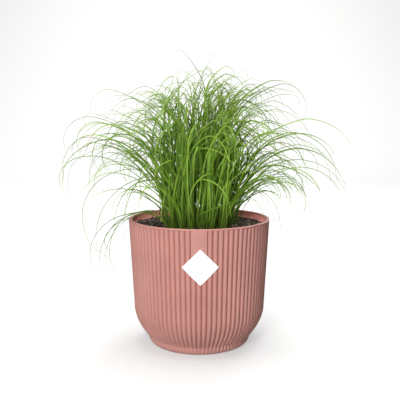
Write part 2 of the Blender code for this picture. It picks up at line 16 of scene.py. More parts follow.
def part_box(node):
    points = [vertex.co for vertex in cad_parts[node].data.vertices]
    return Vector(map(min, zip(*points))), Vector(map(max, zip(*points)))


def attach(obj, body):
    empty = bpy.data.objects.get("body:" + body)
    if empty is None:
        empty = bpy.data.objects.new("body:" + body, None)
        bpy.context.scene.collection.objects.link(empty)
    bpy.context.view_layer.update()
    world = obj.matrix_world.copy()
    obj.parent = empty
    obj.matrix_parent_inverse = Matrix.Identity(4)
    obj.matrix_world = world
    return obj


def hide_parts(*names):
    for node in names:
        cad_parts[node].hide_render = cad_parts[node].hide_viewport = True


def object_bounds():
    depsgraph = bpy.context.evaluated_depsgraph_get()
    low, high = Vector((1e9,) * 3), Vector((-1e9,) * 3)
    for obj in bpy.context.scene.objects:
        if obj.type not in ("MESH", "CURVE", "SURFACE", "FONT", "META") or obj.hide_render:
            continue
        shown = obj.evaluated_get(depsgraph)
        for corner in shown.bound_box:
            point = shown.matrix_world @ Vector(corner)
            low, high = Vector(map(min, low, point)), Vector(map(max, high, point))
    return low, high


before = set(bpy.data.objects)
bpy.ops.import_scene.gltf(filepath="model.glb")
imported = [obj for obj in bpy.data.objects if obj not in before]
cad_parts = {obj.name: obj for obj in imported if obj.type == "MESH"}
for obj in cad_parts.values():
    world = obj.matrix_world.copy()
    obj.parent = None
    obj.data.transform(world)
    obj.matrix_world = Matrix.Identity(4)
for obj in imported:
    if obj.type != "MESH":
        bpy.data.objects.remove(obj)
cad_box = [list(corner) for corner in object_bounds()]

bl_info = {
    "name": "Potted umbrella sedge",
    "version": (1, 0, 0),
    "blender": (4, 5, 0),
    "location": "3D View > Sidebar > Sedge",
    "description": "Builds a clump of umbrella sedge in a ribbed pot, with its soil, sticker and studio",
    "category": "Add Mesh",
}

MM = 0.001
FRONT = -math.pi / 2
BODY = "root"


def linear(hex_colour):
    """An sRGB hex colour as the linear red, green, blue and alpha that a shader takes."""
    parts = [int(hex_colour[i : i + 2], 16) / 255 for i in (1, 3, 5)]
    return (*[c / 12.92 if c <= 0.04045 else ((c + 0.055) / 1.055) ** 2.4 for c in parts], 1.0)


def darker(colour, share):
    return (*[share * c for c in colour[:3]], 1.0)


def colour_property(name, description, hex_colour):
    return FloatVectorProperty(
        name=name, description=description, subtype="COLOR", size=4, min=0, max=1, default=linear(hex_colour)
    )


def length_property(name, description, metres):
    return FloatProperty(name=name, description=description, default=metres, unit="LENGTH", min=0)


def power_property(name, description, watts):
    return FloatProperty(name=name, description=description, default=watts, unit="POWER", min=0)


class PotSettings(bpy.types.PropertyGroup):
    rim_radius: length_property("Rim radius", "Outer radius of the lip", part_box("pot")[1].x)
    height: length_property("Height", "From the ground to the top of the lip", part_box("pot")[1].z)
    wall: length_property("Wall", "Thickness of the wall at the lip", 4.4 * MM)
    rib_depth: length_property("Rib depth", "From a crest to the groove beside it", 2.4 * MM)
    rib_count: IntProperty(name="Ribs", description="Upright ribs around the pot", default=84, min=12)
    colour: colour_property("Colour", "Pigment of the plastic", "#bd877e")
    # Painted shade: the grooves are painted towards this deeper, redder tone, for the shade that lies in
    # them
    painted_groove_shade: colour_property("Groove colour", "Tone that the grooves tend to", "#924334")
    # Painted light: the inner wall is painted brighter and redder, for the light that bounces about in the
    # pot
    inner_painted_light: colour_property("Inner colour", "Tone of the inner wall", "#f0a194")


class SoilSettings(bpy.types.PropertyGroup):
    top: length_property("Top", "Height of the soil's surface over the ground", 156 * MM)
    lump: length_property("Lump height", "Height of the lumps on the surface", 4.5 * MM)
    crumbs: IntProperty(name="Crumbs", description="Loose crumbs on the surface", default=1100, min=0)
    colour: colour_property("Colour", "Moist potting mix", "#281f18")
    dry_colour: colour_property("Dry colour", "Bark and drier crumbs", "#6b5747")
    chip_colour: colour_property("Chip colour", "The palest dry chips", "#c9b48f")


class StickerSettings(bpy.types.PropertyGroup):
    side: length_property("Side", "Side of the square", 31.8 * MM)
    corner: length_property("Corner radius", "Rounding of the corners", 1.3 * MM)
    colour: colour_property("Colour", "Coated paper", "#f7f7f5")


class LeafSettings(bpy.types.PropertyGroup):
    width: length_property("Width", "Width of a full blade at its middle", 3.3 * MM)
    thickness: length_property("Thickness", "Thickness of a blade along its middle rib", 0.35 * MM)
    companions: IntProperty(name="Companions", description="Finer blades beside a shoot", default=5, min=0)
    seed: IntProperty(name="Seed", description="Changes the finer blades and the tones", default=3)
    colour: colour_property("Colour", "A fresh blade", "#79a81d")
    deep_colour: colour_property("Deep colour", "An older, darker blade", "#234f04")
    # Painted shade: the sheaths and the feet of the blades sit in the clump's shade and are painted this
    # deep green
    painted_foot_shade: colour_property("Base colour", "Sheaths and the foot of a blade", "#344f08")
    pale_colour: colour_property("Pale colour", "Thin tips", "#a6c14e")
    under_colour: colour_property("Underside", "The duller lower face", "#7ba33a")
    dry_colour: colour_property("Dry colour", "A withered tip", "#a98a55")


class StageSettings(bpy.types.PropertyGroup):
    backdrop_colour: colour_property("Backdrop", "White studio backdrop", "#fbfbfa")
    board_colour: colour_property("Board", "Pale board that the object stands on", "#b3b3b2")
    board_glow: FloatProperty(name="Board glow", description="Light from below the board", default=0.36)
    key_power: power_property("Key light", "Power of the main light", 22.8)
    side_power: power_property("Side light", "Power of the light at the left", 1.5)
    low_power: power_property("Low light", "Power of the light near the floor", 6.8)
    top_power: power_property("Top light", "Power of the wide light above", 52.0)
    rear_power: power_property("Rear light", "Power of the light behind the object", 10.0)
    back_power: power_property("Back light", "Power of the backdrop's light", 31.0)
    surround: FloatProperty(name="Surround", description="Strength of the white surround", default=0.37)


# Materials

LEAF_VALUES = ("along", "across", "tone", "dry")
BOARD_FADE = (1.9, 1.0)  # the board turns into the backdrop between these depths


def add_node(tree, kind, output, inputs=None, **settings):
    """Add a node with its settings, give its inputs a value or a link each, and return an output."""
    node = tree.nodes.new(kind)
    for key, value in settings.items():
        setattr(node, key, value)
    for key, value in (inputs or {}).items():
        if isinstance(value, bpy.types.NodeSocket):
            tree.links.new(value, node.inputs[key])
        else:
            node.inputs[key].default_value = value
    return node.outputs[output]


def new_material(name, roughness, **sockets):
    """A material with its shader, the values that are the same all over set on the shader."""
    made = bpy.data.materials.new(name)
    made.use_nodes = True
    shader = made.node_tree.nodes["Principled BSDF"]
    shader.inputs["Roughness"].default_value = roughness
    for socket, value in sockets.items():
        shader.inputs[socket.replace("_", " ")].default_value = value
    return made, made.node_tree, shader


def clouds(tree, size, detail, roughness=0.5):
    """A cloudy pattern in object space whose features are about as large as the given size."""
    place = add_node(tree, "ShaderNodeTexCoord", "Object")
    inputs = {"Vector": place, "Scale": 1 / size, "Detail": detail, "Roughness": roughness}
    return add_node(tree, "ShaderNodeTexNoise", "Fac", inputs)


def lay_over(tree, under, over, mask, low=0.0, high=1.0, least=0.0, most=1.0):
    """Lay a colour over another, by the least share where the mask is low and the most where it is high."""
    ends = {"From Min": low, "From Max": high, "To Min": least, "To Max": most}
    share = add_node(tree, "ShaderNodeMapRange", "Result", {"Value": mask, **ends})
    return add_node(tree, "ShaderNodeMix", 2, {0: share, 6: under, 7: over}, data_type="RGBA")


def finish(tree, shader, colour, height, depth, strength):
    """Give the shader its colour, and raise the surface by the depth where the height is 1."""
    inputs = {"Height": height, "Distance": depth, "Strength": strength}
    tree.links.new(colour, shader.inputs["Base Color"])
    tree.links.new(add_node(tree, "ShaderNodeBump", "Normal", inputs), shader.inputs["Normal"])


def pot_material(settings):
    # Polypropylene, injection moulded in a finely etched tool: a soft satin sheen, an even pigment with
    # faint flow clouds. The grooves are painted a tone deeper and redder than the crests, as painted shade,
    # and the inner wall brighter and redder, as painted light for the light that bounces about inside the
    # pot
    made, tree, shader = new_material("polypropylene_moulded_satin", 0.46, IOR=1.49, Specular_IOR_Level=0.2)
    deeper = darker(settings.colour, 0.90)
    inner = add_node(tree, "ShaderNodeAttribute", "Fac", attribute_name="inner")
    groove = add_node(tree, "ShaderNodeAttribute", "Fac", attribute_name="groove")
    pigment_and_painted_light = lay_over(tree, settings.colour, deeper, clouds(tree, 45 * MM, 3.0), 0.35, 0.70)
    # Painted light on the inner wall
    pigment_and_painted_light = lay_over(tree, pigment_and_painted_light, settings.inner_painted_light, inner)
    # Painted shade in the grooves, outside and inside, deeper where a groove is deeper
    pigment_and_painted_light = lay_over(tree, pigment_and_painted_light, settings.painted_groove_shade, groove, 0.45, 1.0, 0.0, 0.50)
    wear = clouds(tree, 9 * MM, 4.0)
    sheen = {"Value": wear, "From Min": 0.3, "From Max": 0.75, "To Min": 0.40, "To Max": 0.54}
    tree.links.new(add_node(tree, "ShaderNodeMapRange", "Result", sheen), shader.inputs["Roughness"])
    # The etched grain is 0.15 mm in the real tool and is drawn at 0.6 mm so that it shows
    finish(tree, shader, pigment_and_painted_light, clouds(tree, 0.6 * MM, 2.0), 0.04 * MM, 0.5)
    return made


def soil_material(settings):
    # Peat and bark potting mix, loose and moist: nearly black in the gaps, with browner bark, pale dry
    # chips and no gloss
    made, tree, shader = new_material("peat_and_bark_mix_loose", 0.93)
    gap = linear("#120d0a")
    tone = add_node(tree, "ShaderNodeAttribute", "Fac", attribute_name="tone")
    loose = add_node(tree, "ShaderNodeAttribute", "Fac", attribute_name="loose")
    bed = lay_over(tree, gap, settings.dry_colour, clouds(tree, 4 * MM, 6.0, 0.7), 0.48, 0.72)
    crumb = lay_over(tree, gap, settings.colour, tone, 0.0, 0.35)
    crumb = lay_over(tree, crumb, settings.dry_colour, tone, 0.35, 0.75)
    crumb = lay_over(tree, crumb, settings.chip_colour, tone, 0.75, 1.0)
    crumb = lay_over(tree, crumb, settings.colour, clouds(tree, 1.0 * MM, 3.0), 0.45, 0.75, 0.0, 0.6)
    colour = lay_over(tree, bed, crumb, loose)
    finish(tree, shader, colour, clouds(tree, 1.2 * MM, 5.0), 0.5 * MM, 0.8)
    return made


def sticker_material(settings):
    # Coated paper, calendered: bright white, smooth, with the fibres only just felt
    made, tree, shader = new_material("coated_paper_calendered", 0.38, IOR=1.5)
    shade = darker(settings.colour, 0.965)
    colour = lay_over(tree, settings.colour, shade, clouds(tree, 7 * MM, 3.0), 0.3, 0.7)
    # Paper fibres are about 0.05 mm across and are drawn at 0.4 mm so that they show
    finish(tree, shader, colour, clouds(tree, 0.4 * MM, 2.0), 0.015 * MM, 0.5)
    return made


def leaf_material(settings, name, underside):
    # Living leaf of a sedge, grown in parallel-veined strips: waxy and bright above, duller and greyer
    # below, pale where the tip runs out, here and there withered. The sheath and the foot of each blade are
    # painted deep green, as painted shade where the clump shades itself
    made, tree, shader = new_material(name, 0.50 if underside else 0.40, IOR=1.45, Specular_IOR_Level=0.35)
    along, across, tone, dry = (
        add_node(tree, "ShaderNodeAttribute", "Fac", attribute_name=value) for value in LEAF_VALUES
    )
    # The tone holds painted light as well: it is raised at the front and the outside of the clump
    body = lay_over(tree, settings.deep_colour, settings.colour, tone)
    body = lay_over(tree, body, settings.deep_colour, clouds(tree, 14 * MM, 2.0), 0.4, 0.75, 0.0, 0.35)
    if underside:
        body = lay_over(tree, body, settings.under_colour, 0.45)
    # Painted shade: the foot of each blade is painted deep green, fading out over the lower part of its
    # length
    body = lay_over(tree, body, settings.painted_foot_shade, along, 0.02, 0.30, 0.75, 0.0)
    body = lay_over(tree, body, settings.pale_colour, along, 0.60, 1.0, 0.0, 0.55)
    # The veins stand 0.35 mm apart and run the whole length; they are drawn twice as far apart to show
    turns = {0: across, 1: math.pi * settings.width / (0.7 * MM)}
    phase = add_node(tree, "ShaderNodeMath", 0, turns, operation="MULTIPLY")
    veins = add_node(tree, "ShaderNodeMath", 0, {0: phase}, operation="SINE")
    body = lay_over(tree, body, settings.pale_colour, veins, -1.0, 1.0, 0.0, 0.22)
    body = lay_over(tree, body, settings.dry_colour, dry)
    finish(tree, shader, body, veins, 0.05 * MM, 0.5)
    return made


def floor_material(settings):
    # Opal acrylic board, frosted and lit from below: pale and even, so that the shadow is soft and the
    # thinnest tips stand out. It runs over into the white backdrop
    made, tree, shader = new_material("acrylic_opal_frosted", 0.85, Emission_Color=(1.0, 1.0, 1.0, 1.0))
    place = add_node(tree, "ShaderNodeTexCoord", "Object")
    depth = add_node(tree, "ShaderNodeSeparateXYZ", "Y", {"Vector": place})
    colour = settings.backdrop_colour
    colour = lay_over(tree, colour, darker(colour, 0.985), clouds(tree, 0.5, 2.0))
    colour = lay_over(tree, colour, settings.board_colour, depth, *BOARD_FADE)
    tree.links.new(colour, shader.inputs["Base Color"])
    start, end = BOARD_FADE
    glow = {"Value": depth, "From Min": start, "From Max": end, "To Max": settings.board_glow}
    tree.links.new(add_node(tree, "ShaderNodeMapRange", "Result", glow), shader.inputs["Emission Strength"])
    return made


# Shared mesh tools

# Faces that meet at more than this many degrees keep a crisp edge between them
CRISP_FROM = {"pot_plastic": 50, "sticker_paper": 40, "potting_soil": 40, "sedge_leaf": 35}


def new_piece(name, points, faces, looks, slot, nodes, values=None, face_looks=None):
    """Make a piece of the object, ride it on the body, and let it stand for its solids."""
    mesh = bpy.data.meshes.new(name)
    mesh.from_pydata(points, [], faces)
    for look in looks:
        mesh.materials.append(look)
    if face_looks:
        mesh.polygons.foreach_set("material_index", face_looks)
    for key, numbers in (values or {}).items():
        layer = mesh.attributes.new(key, "FLOAT", "POINT")
        layer.data.foreach_set("value", numbers)
    mesh.shade_smooth()
    mesh.set_sharp_from_angle(angle=math.radians(CRISP_FROM[slot]))
    mesh.update()
    piece = bpy.data.objects.new(name, mesh)
    bpy.context.scene.collection.objects.link(piece)
    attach(piece, BODY)
    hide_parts(*nodes)
    return piece


def rings_of(first, count, size):
    """The point numbers of rings that follow each other."""
    return [range(first + size * k, first + size * (k + 1)) for k in range(count)]


def wrap(rings):
    """Faces between rings of points, facing out where the rings run up and anticlockwise."""
    faces = []
    for below, above in zip(rings, rings[1:]):
        for i in range(len(below)):
            j = (i + 1) % len(below)
            faces.append((below[i], below[j], above[j], above[i]))
    return faces


def fan(centre, ring):
    return [(centre, ring[i], ring[(i + 1) % len(ring)]) for i in range(len(ring))]


def smoothstep(low, high, value):
    share = min(max((value - low) / (high - low), 0.0), 1.0)
    return share * share * (3 - 2 * share)


# Pot

LIP_BAND = 1.7 * MM
LIP_PROUD = 0.15 * MM  # the lip stands out from the crests
LIP_STEP = 0.35 * MM  # the groove under the lip
LIP_EDGE = 0.1 * MM
LIP_ROUNDING = 1.3 * MM
LIP_SQUARENESS = (0.6, 0.8)  # 1 is a round lip, less is a squarer one: across and upwards
LIP_STEPS = 12
KNEE_RADIUS, KNEE_Z = 85.8 * MM, 51.7 * MM
NOTCH_RADIUS, NOTCH_Z = 67.4 * MM, 10.6 * MM
BASE_RADIUS = 57.1 * MM
BASE_EDGE = 1.5 * MM
FOOT_ROUNDING = 0.4
FLOOR_RADIUS, FLOOR_Z = 52 * MM, 4.5 * MM
INNER_MID_RADIUS, INNER_MID_Z = 77.7 * MM, 33.2 * MM
INNER_RIB_DEPTH = 2.0 * MM
INNER_RIB_END, INNER_RIB_FULL = 155 * MM, 158 * MM
PANEL_RIBS = 3
PANEL_BOTTOM_Z = 121 * MM
PANEL_FADE = 2.2 * MM
PANEL_MARGIN = 0.06  # of a rib: the panel stops this far inside the grooves beside it
RIB_SAMPLES = (-0.5, -0.47, -0.42, -0.35, -0.26, -0.14, 0.0, 0.14, 0.26, 0.35, 0.42, 0.47)
RIB_POWER = 2.3  # 2 is a round rib, more is a flatter crest with a narrower groove
FOOT_CUT, FOOT_CUT_GAIN = 0.22, 0.35  # of the ribs' depth at the ground, and its gain up to the notch
BOWL_CUT, BOWL_FADE_STEPS = 0.62, 3  # of it just over the notch, and the rows that bring it to the full
BOWL_STEPS = 16
FOOT_ROWS_MM = (0.0, 0.15, 0.5, 1.1, 2.0, 3.2, 4.8, 6.6, 8.4, 9.8)
WALL_ROWS_MM = (60, 75, 90, 105, 117.6, 118.8, 119.4, 120.0, 120.6, 121.4, 130, 140, 150, 158)
INNER_ROWS_MM = (162.5, 161, 159, 157, 156, 155, 146)
RIB_ENDS = ((1.1, 1.0), (0.6, 0.8), (0.25, 0.4))  # mm below the lip band, and the share of the depth
UNDER_LIP_CUT = 0.15


def crest_radius(settings, z):
    """Outer radius of the rib crests at a height."""
    if z >= KNEE_Z:
        top = settings.rim_radius - LIP_PROUD
        share = (z - KNEE_Z) / (settings.height - LIP_BAND - KNEE_Z)
        return KNEE_RADIUS + (top - KNEE_RADIUS) * min(share, 1)
    if z >= NOTCH_Z:
        depth = (KNEE_Z - z) / (KNEE_Z - NOTCH_Z)
        return KNEE_RADIUS - (KNEE_RADIUS - NOTCH_RADIUS) * depth * depth
    depth = 1 - z / NOTCH_Z
    return BASE_RADIUS + (NOTCH_RADIUS - BASE_RADIUS) * max(0.0, 1 - depth * depth) ** FOOT_ROUNDING


def outer_rows(settings):
    """(radius, height, rib share) from the ground up to the lip."""
    rows = [(BASE_RADIUS - BASE_EDGE, 0.0, 0.0)]
    for z in FOOT_ROWS_MM:
        rows.append((crest_radius(settings, z * MM), z * MM, FOOT_CUT + FOOT_CUT_GAIN * z * MM / NOTCH_Z))
    for step in range(BOWL_STEPS + 1):
        z = NOTCH_Z + (KNEE_Z - NOTCH_Z) * step / BOWL_STEPS
        share = min(1.0, BOWL_CUT + (1 - BOWL_CUT) * step / BOWL_FADE_STEPS)
        rows.append((crest_radius(settings, z), z, share))
    for z in WALL_ROWS_MM:
        rows.append((crest_radius(settings, z * MM), z * MM, 1.0))
    band = settings.height - LIP_BAND
    top = crest_radius(settings, band)
    rows += [(top, band - below * MM, share) for below, share in RIB_ENDS]
    rows.append((top - LIP_STEP, band, UNDER_LIP_CUT))
    return rows


def lip_rows(settings):
    """Over the rounded lip, from the outside to the inside."""
    rim, top = settings.rim_radius, settings.height
    inner = rim - LIP_PROUD - settings.wall
    middle = (rim + inner) / 2
    half = (rim - inner) / 2
    flat, crown = LIP_SQUARENESS
    rows = [(rim - LIP_STEP, top - LIP_BAND + LIP_EDGE), (rim, top - LIP_BAND + LIP_STEP)]
    for step in range(LIP_STEPS + 1):
        angle = math.pi * step / LIP_STEPS
        out = math.copysign(abs(math.cos(angle)) ** flat, math.cos(angle))
        rows.append((middle + half * out, top - LIP_ROUNDING * (1 - math.sin(angle) ** crown)))
    return rows


def pot_surface(settings):
    """Points, faces and surface values of the whole shell, column by column around the axis."""
    pitch = 2 * math.pi / settings.rib_count
    columns = [rib + share for rib in range(settings.rib_count) for share in RIB_SAMPLES]
    outside = outer_rows(settings)
    inside = [(z * MM, smoothstep(INNER_RIB_END, INNER_RIB_FULL, z * MM)) for z in INNER_ROWS_MM]
    points = []
    # The groove share and the inner-wall mask, which the material turns into painted shade and painted light
    values = {"groove": [], "inner": []}

    def ring(radii, z, cuts, inner=0.0):
        start = len(points)
        for column, radius in zip(columns, radii):
            angle = FRONT + column * pitch
            points.append((radius * math.cos(angle), radius * math.sin(angle), z))
        values["groove"] += cuts
        values["inner"] += [inner] * len(columns)
        return range(start, start + len(columns))

    half_panel = PANEL_RIBS / 2 - PANEL_MARGIN
    phases = []
    for column in columns:
        away = min(column % settings.rib_count, -column % settings.rib_count)
        share = min(abs(2 * (column - round(column))), 1.0)
        phases.append((share**RIB_POWER, away < half_panel))
    rings = []
    for radius, z, share in outside:
        panel = 1 - smoothstep(PANEL_BOTTOM_Z - PANEL_FADE, PANEL_BOTTOM_Z, z)
        cut = [share * (phase * panel if flush else phase) for phase, flush in phases]
        rings.append(ring([radius - settings.rib_depth * c for c in cut], z, cut))
    for radius, z in lip_rows(settings):
        rings.append(ring([radius] * len(columns), z, [0.0] * len(columns)))
    for z, share in inside:
        inner = crest_radius(settings, z) - settings.wall
        bulge = [INNER_RIB_DEPTH * share * (1 - phase) for phase, _ in phases]
        cut = [share * phase for phase, _ in phases]
        rings.append(ring([inner + b for b in bulge], z, cut, 1.0))
    knee = (KNEE_RADIUS - settings.wall, KNEE_Z)
    for radius, z in (knee, (INNER_MID_RADIUS, INNER_MID_Z), (FLOOR_RADIUS, FLOOR_Z)):
        rings.append(ring([radius] * len(columns), z, [0.0] * len(columns), 1.0))
    faces = wrap(rings)
    for edge, height, inner in ((rings[0][::-1], 0.0, 0.0), (rings[-1], FLOOR_Z, 1.0)):
        faces += fan(len(points), edge)
        points.append((0.0, 0.0, height))
        values["groove"].append(0.0)
        values["inner"].append(inner)
    return points, faces, values


class SEDGE_OT_make_pot(bpy.types.Operator):
    """Build the ribbed pot with its lip and smooth front panel"""

    bl_idname = "sedge.make_pot"
    bl_label = "Make pot"

    def execute(self, context):
        settings = context.scene.sedge_pot
        points, faces, values = pot_surface(settings)
        look = pot_material(settings)
        new_piece("ribbed_pot", points, faces, [look], "pot_plastic", ["pot"], values)
        return {"FINISHED"}


# Sticker

STICKER_CENTRE_X, STICKER_CENTRE_Z = 1.6 * MM, 118.8 * MM
STICKER_LIFT = 0.35 * MM  # the glue and the paper's stiffness hold it off the crests
STICKER_THICKNESS = 0.3 * MM
STICKER_BEVEL = 0.12 * MM
STICKER_RINGS = 10
CORNER_STEPS = 5
EDGE_STEPS = 8


def rounded_square(side, corner):
    """The outline of a square with rounded corners, standing on its point."""
    half = side / 2 - corner
    corners = ((half, half), (-half, half), (-half, -half), (half, -half))
    outline = []
    for quarter, (x, y) in enumerate(corners):
        for step in range(CORNER_STEPS + 1):
            angle = math.pi / 2 * (quarter + step / CORNER_STEPS)
            outline.append((x + corner * math.cos(angle), y + corner * math.sin(angle)))
        last = outline[-1]
        turn = math.pi / 2 * (quarter + 1)
        next_x, next_y = corners[(quarter + 1) % 4]
        target = (next_x + corner * math.cos(turn), next_y + corner * math.sin(turn))
        for step in range(1, EDGE_STEPS):
            outline.append(tuple(a + (b - a) * step / EDGE_STEPS for a, b in zip(last, target)))
    tilt = math.sqrt(0.5)
    return [((x - y) * tilt, (x + y) * tilt) for x, y in outline]


def sticker_surface(settings, pot):
    """Points and faces of the paper, bent round the pot: the outer face, the edge and the back."""
    outline = rounded_square(settings.side, settings.corner)
    points = []

    def place(x, height, lift):
        radius = crest_radius(pot, STICKER_CENTRE_Z + height) + lift
        angle = FRONT + (STICKER_CENTRE_X + x) / radius
        points.append((radius * math.cos(angle), radius * math.sin(angle), STICKER_CENTRE_Z + height))

    outer = STICKER_LIFT + STICKER_THICKNESS
    layers = [(i / STICKER_RINGS, outer) for i in range(1, STICKER_RINGS)]
    layers += [(1 - STICKER_BEVEL / settings.side, outer)]
    layers += [(1.0, outer - STICKER_BEVEL), (1.0, STICKER_LIFT)]
    layers += [(i / STICKER_RINGS, STICKER_LIFT) for i in range(STICKER_RINGS - 1, 0, -1)]
    place(0, 0, outer)
    for share, lift in layers:
        for x, y in outline:
            place(x * share, y * share, lift)
    place(0, 0, STICKER_LIFT)
    rings = rings_of(1, len(layers), len(outline))
    faces = fan(0, rings[0]) + wrap(rings[::-1]) + fan(len(points) - 1, rings[-1][::-1])
    return points, faces


class SEDGE_OT_make_sticker(bpy.types.Operator):
    """Build the blank paper sticker on the front of the pot"""

    bl_idname = "sedge.make_sticker"
    bl_label = "Make sticker"

    def execute(self, context):
        settings = context.scene.sedge_sticker
        points, faces = sticker_surface(settings, context.scene.sedge_pot)
        look = sticker_material(settings)
        new_piece("square_sticker", points, faces, [look], "sticker_paper", ["label"])
        return {"FINISHED"}


# Soil

SOIL_RADIUS = 85.9 * MM
SOIL_RINGS, SOIL_SPOKES = 58, 240
# Radius and height down the side, from just below the surface to the pot's floor
SOIL_SIDE = ((SOIL_RADIUS, 140 * MM), (KNEE_RADIUS - 4.8 * MM, KNEE_Z), (FLOOR_RADIUS - MM, 6 * MM))
# Size of the lumps, share of the lump height, and a shift that keeps the layers apart
GROUND_LAYERS = ((17 * MM, 0.45, (0, 0, 0)), (5.5 * MM, 0.40, (7, 0, 0)), (1.9 * MM, 0.20, (0, 9, 0)))
GROUND_SINK = 0.15
SOIL_SEED = 11
CRUMB_SIZES = (1.2 * MM, 5.5 * MM)
CRUMB_FLATNESS = ((0.6, 1.0), (0.5, 0.9))  # width and height against length
CHIP_SIZES = (5 * MM, 11 * MM)
CHIP_FLATNESS = ((0.22, 0.40), (0.12, 0.22))
CHIP_TONES = (0.55, 1.0)
CHIP_SHARE = 0.24  # of the loose pieces are slivers of bark
CORNER_PUSH = (0.75, 1.2)
CRUMB_LEAN = 0.5
CRUMB_LIFT = 0.15


def ground(settings, x, y):
    """Height of the soil's lumpy surface."""
    spot = Vector((x, y, 0.0))
    rough = sum(share * noise.noise(spot / size + Vector(shift)) for size, share, shift in GROUND_LAYERS)
    return settings.top + settings.lump * (rough - GROUND_SINK)


def add_crumb(points, faces, values, spot, rng):
    """A rough lump: an octahedron with its corners pushed about, long and flat for bark."""
    corners = [(1, 0, 0), (-1, 0, 0), (0, 1, 0), (0, -1, 0), (0, 0, 1), (0, 0, -1)]
    low, high = CRUMB_SIZES
    size = low + (high - low) * rng.random() ** 2
    stretch = (1.0, *(rng.uniform(*span) for span in CRUMB_FLATNESS))
    tone = rng.random()
    if rng.random() < CHIP_SHARE:
        size = rng.uniform(*CHIP_SIZES)
        stretch = (1.0, *(rng.uniform(*span) for span in CHIP_FLATNESS))
        tone = rng.uniform(*CHIP_TONES)
    turn = rng.uniform(0, 2 * math.pi)
    lean = rng.uniform(-CRUMB_LEAN, CRUMB_LEAN)
    start = len(points)
    for x, y, z in corners:
        push = rng.uniform(*CORNER_PUSH) * size / 2
        x, y, z = x * push * stretch[0], y * push * stretch[1], z * push * stretch[2]
        z += x * lean + CRUMB_LIFT * size * stretch[2]
        points.append((
            spot.x + x * math.cos(turn) - y * math.sin(turn),
            spot.y + x * math.sin(turn) + y * math.cos(turn),
            spot.z + z,
        ))
    for a, b, c in ((0, 2, 4), (2, 1, 4), (1, 3, 4), (3, 0, 4), (2, 0, 5), (1, 2, 5), (3, 1, 5), (0, 3, 5)):
        faces.append((start + a, start + b, start + c))
    values["loose"] += [1.0] * 6
    values["tone"] += [tone] * 6


def soil_surface(settings):
    """Points, faces and surface values of the soil and its loose crumbs."""
    points = [(0.0, 0.0, ground(settings, 0, 0))]
    for ring in range(1, SOIL_RINGS + 1):
        radius = SOIL_RADIUS * ring / SOIL_RINGS
        for spoke in range(SOIL_SPOKES):
            angle = 2 * math.pi * (spoke + 0.5 * (ring % 2)) / SOIL_SPOKES
            x, y = radius * math.cos(angle), radius * math.sin(angle)
            points.append((x, y, ground(settings, x, y)))
    for radius, z in SOIL_SIDE:
        for spoke in range(SOIL_SPOKES):
            angle = 2 * math.pi * spoke / SOIL_SPOKES
            points.append((radius * math.cos(angle), radius * math.sin(angle), z))
    rings = rings_of(1, SOIL_RINGS + len(SOIL_SIDE), SOIL_SPOKES)
    faces = fan(0, rings[0]) + wrap(rings[::-1]) + [tuple(rings[-1][::-1])]
    values = {"loose": [0.0] * len(points), "tone": [0.5] * len(points)}
    rng = random.Random(SOIL_SEED)
    for _ in range(settings.crumbs):
        away = (SOIL_RADIUS - CHIP_SIZES[1] / 2) * math.sqrt(rng.random())
        angle = rng.uniform(0, 2 * math.pi)
        x, y = away * math.cos(angle), away * math.sin(angle)
        add_crumb(points, faces, values, Vector((x, y, ground(settings, x, y))), rng)
    return points, faces, values


class SEDGE_OT_make_soil(bpy.types.Operator):
    """Build the potting soil with its lumps, crumbs and slivers of bark"""

    bl_idname = "sedge.make_soil"
    bl_label = "Make soil"

    def execute(self, context):
        settings = context.scene.sedge_soil
        points, faces, values = soil_surface(settings)
        look = soil_material(settings)
        new_piece("potting_soil", points, faces, [look], "potting_soil", ["soil"], values)
        return {"FINISHED"}


# Leaf blades

STEPS_PER_SPAN = 5  # points on the smooth line between two rings of a solid
TIP_WIDTH = 0.45 * MM
BASE_DEPTH = 3 * MM  # the blades start this far below the soil's surface
SHEATH_SIDES = 8
SHEATH_RADII = (1.4 * MM, 1.0 * MM)
SHEATH_RINGS = (0.0, 0.35, 0.7, 1.0)  # shares of its height
SHEATH_SHARE = 0.6  # of the height from the soil to the fork
SHEATH_ALONG = 0.12  # its top has the tone of a blade at this share of the length
BASE_SPREAD = 3.8 * MM  # a blade leaves the soil this far from the middle of its shoot
BASE_WIDTH = 0.36  # of the full width at the soil
FULL_WIDTH_FROM = 0.38  # of the length: here the blade has its full width
FORK_SPREAD = 1.6 * MM  # the blades part this much further than the solid's do at its fork
WANDER = 1.6 * MM  # how far a blade's outer end sways from the smooth line
BOX_ROOM = 2 * MM  # the finer blades keep inside the solids' box by this much
WALL_ROOM = 1.2 * MM
OUTER_REACH = (60 * MM, 150 * MM)  # the finer blades grow in number over this range of reach
COMPANY_RIGHT = 1.8  # the clump is fuller at the right by this factor
SLIM_TOP_Z = 295 * MM  # the blades of the middle that rise above this are slimmer
SLIM_WIDTH = 0.52
LEAN_RANGE = (0.0, 0.4)  # 0 rises like the blade beside it, 1 straight towards its highest point
CURLED_SHARE = 0.15  # of the finer blades hook down at the tip
CURL_FROM = 0.78  # of the points lie before the hook
CURL_TURN = (0.5, 1.7)
COMPANION_TRIES = 20
COMPANION_WIDTHS, BLADE_WIDTHS = (0.50, 0.95), (0.8, 1.08)  # against the full width
COMPANION_REACH, COMPANION_RISE = (0.60, 1.05), (0.80, 1.08)  # against the blade beside it
COMPANION_GAP = 4 * MM
TURN_SPREAD, TURN_GAIN = 0.22, 0.5  # radians at the back, and how much more at the front
TURN_FRONT = 40 * MM  # a shoot this far forward counts as one at the front
TONE_MIDDLE, TONE_SPREAD = 0.20, 0.38
